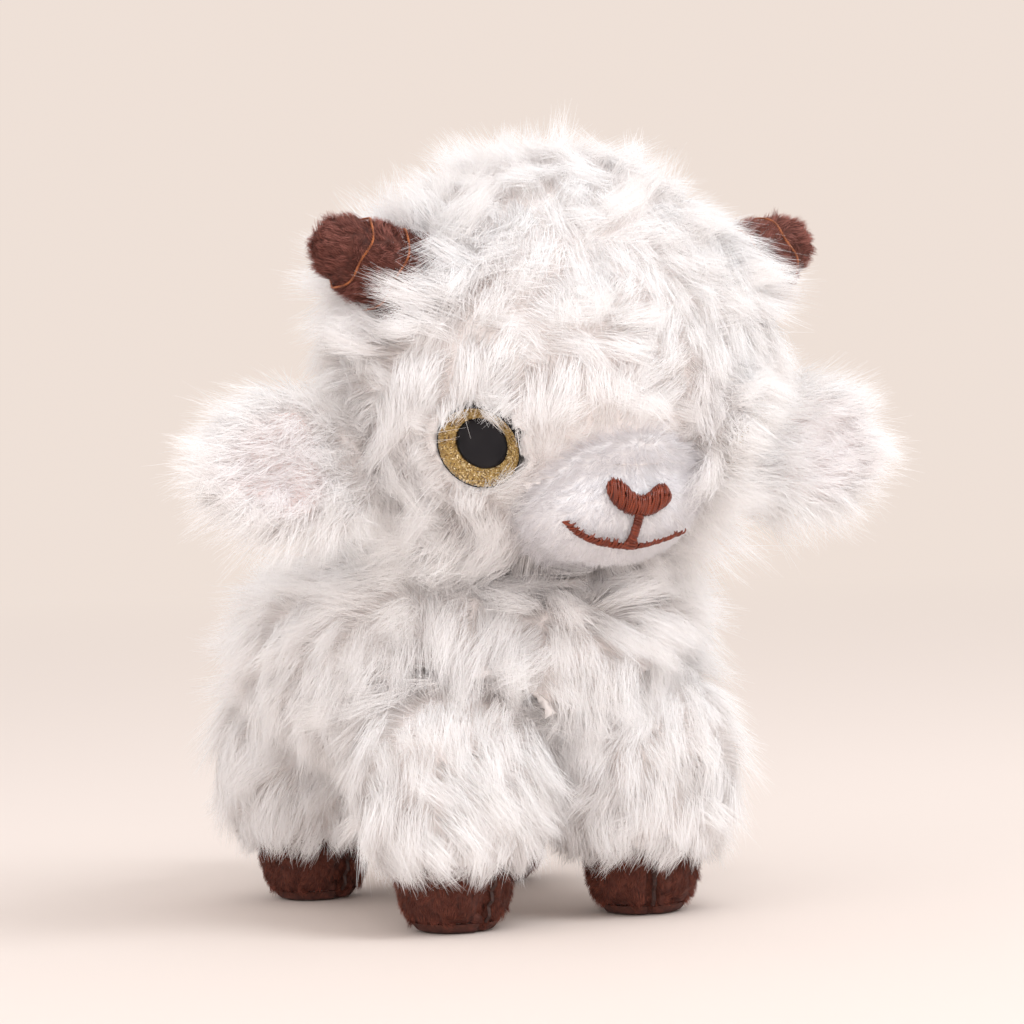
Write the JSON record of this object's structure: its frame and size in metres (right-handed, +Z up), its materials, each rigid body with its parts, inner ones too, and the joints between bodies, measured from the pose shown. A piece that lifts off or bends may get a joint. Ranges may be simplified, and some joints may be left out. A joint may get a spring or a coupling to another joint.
{
  "type": "plush sheep",
  "caption": "Small stuffed sheep that stands on its own, with shaggy white wool, brown hooves and horns, glitter eyes, and a head, ears, legs and tail that move softly.",
  "frame": {"origin": "on the floor, at the middle of the outline seen from above", "axes": "+Z up; the sheep faces -Y; its own left side is +X"},
  "size_m": [0.1268, 0.1284, 0.1275],
  "materials": {
    "wool": "long clumped curly pile, matte",
    "short_pile": "short smooth pile, matte",
    "pink_pile": "short smooth pile, matte",
    "brown_pile": "short pile with a slight sheen",
    "brown_thread": "satin thread",
    "white_thread": "twisted thread",
    "fibre": "loose polyester fibre",
    "clear_plastic": "clear and polished",
    "black_plastic": "glossy",
    "gold_glitter": "golden glitter flakes",
    "white_plastic": "moulded"
  },
  "bodies": {
    "torso": {"body_fur": "wool", "body_stuffing": "fibre", "closing_seam": "white_thread"},
    "tail": {"tail_fur": "wool", "tail_stuffing": "fibre"},
    "front_left_leg": {"front_left_leg_fur": "wool", "front_left_leg_stuffing": "fibre", "front_left_hoof": "brown_pile", "front_left_hoof_sole": "brown_pile", "front_left_cleft_stitches": "brown_thread"},
    "front_right_leg": {"front_right_leg_fur": "wool", "front_right_leg_stuffing": "fibre", "front_right_hoof": "brown_pile", "front_right_hoof_sole": "brown_pile", "front_right_cleft_stitches": "brown_thread"},
    "rear_left_leg": {"rear_left_leg_fur": "wool", "rear_left_leg_stuffing": "fibre", "rear_left_hoof": "brown_pile", "rear_left_hoof_sole": "brown_pile", "rear_left_cleft_stitches": "brown_thread"},
    "rear_right_leg": {"rear_right_leg_fur": "wool", "rear_right_leg_stuffing": "fibre", "rear_right_hoof": "brown_pile", "rear_right_hoof_sole": "brown_pile", "rear_right_cleft_stitches": "brown_thread"},
    "neck": {"neck_seam": "white_thread"},
    "head": {"head_fur": "wool", "head_stuffing": "fibre", "muzzle": "short_pile", "nose_embroidery": "brown_thread", "mouth_embroidery": "brown_thread", "left_eye_dish": "black_plastic", "left_eye_glitter_ring": "gold_glitter", "left_eye_pupil": "black_plastic", "left_eye_lens": "clear_plastic", "left_eye_lock_washer": "white_plastic", "left_horn": "brown_pile", "left_horn_stuffing": "fibre", "left_horn_ring_1": "brown_thread", "left_horn_ring_2": "brown_thread", "right_eye_dish": "black_plastic", "right_eye_glitter_ring": "gold_glitter", "right_eye_pupil": "black_plastic", "right_eye_lens": "clear_plastic", "right_eye_lock_washer": "white_plastic", "right_horn": "brown_pile", "right_horn_stuffing": "fibre", "right_horn_ring_1": "brown_thread", "right_horn_ring_2": "brown_thread"},
    "left_ear": {"left_ear_back": "wool", "left_ear_lining": "pink_pile"},
    "right_ear": {"right_ear_back": "wool", "right_ear_lining": "pink_pile"}
  },
  "joints": [
    {"name": "head_turn", "type": "hinge", "parent": "torso", "child": "neck", "pos_m": [0, -0.0292, 0.0925], "axis": [0, -0.342, 0.9397], "range_deg": [-20, 20], "stiffness_Nm_per_rad": 0.2},
    {"name": "head_nod", "type": "hinge", "parent": "neck", "child": "head", "pos_m": [0, -0.0292, 0.0925], "axis": [1, 0, 0], "range_deg": [-10, 10], "stiffness_Nm_per_rad": 0.3},
    {"name": "left_ear_fold", "type": "hinge", "parent": "head", "child": "left_ear", "pos_m": [0.0355, -0.0282, 0.078], "axis": [-0.3746, 0, -0.9272], "range_deg": [-30, 30], "stiffness_Nm_per_rad": 0.008},
    {"name": "right_ear_fold", "type": "hinge", "parent": "head", "child": "right_ear", "pos_m": [-0.0355, -0.0282, 0.078], "axis": [-0.3746, 0, 0.9272], "range_deg": [-30, 30], "stiffness_Nm_per_rad": 0.008},
    {"name": "tail_flick", "type": "hinge", "parent": "torso", "child": "tail", "pos_m": [0, 0.04927, 0.05006], "axis": [1, 0, 0], "range_deg": [-5, 30], "stiffness_Nm_per_rad": 0.008},
    {"name": "front_left_hip", "type": "hinge", "parent": "torso", "child": "front_left_leg", "pos_m": [0.01772, -0.0242, 0.027], "axis": [1, 0, 0], "range_deg": [-12, 12], "stiffness_Nm_per_rad": 0.3},
    {"name": "front_right_hip", "type": "hinge", "parent": "torso", "child": "front_right_leg", "pos_m": [-0.01772, -0.0242, 0.027], "axis": [1, 0, 0], "range_deg": [-12, 12], "stiffness_Nm_per_rad": 0.3},
    {"name": "rear_left_hip", "type": "hinge", "parent": "torso", "child": "rear_left_leg", "pos_m": [0.01772, 0.0318, 0.027], "axis": [1, 0, 0], "range_deg": [-12, 12], "stiffness_Nm_per_rad": 0.3},
    {"name": "rear_right_hip", "type": "hinge", "parent": "torso", "child": "rear_right_leg", "pos_m": [-0.01772, 0.0318, 0.027], "axis": [1, 0, 0], "range_deg": [-12, 12], "stiffness_Nm_per_rad": 0.3}
  ]
}
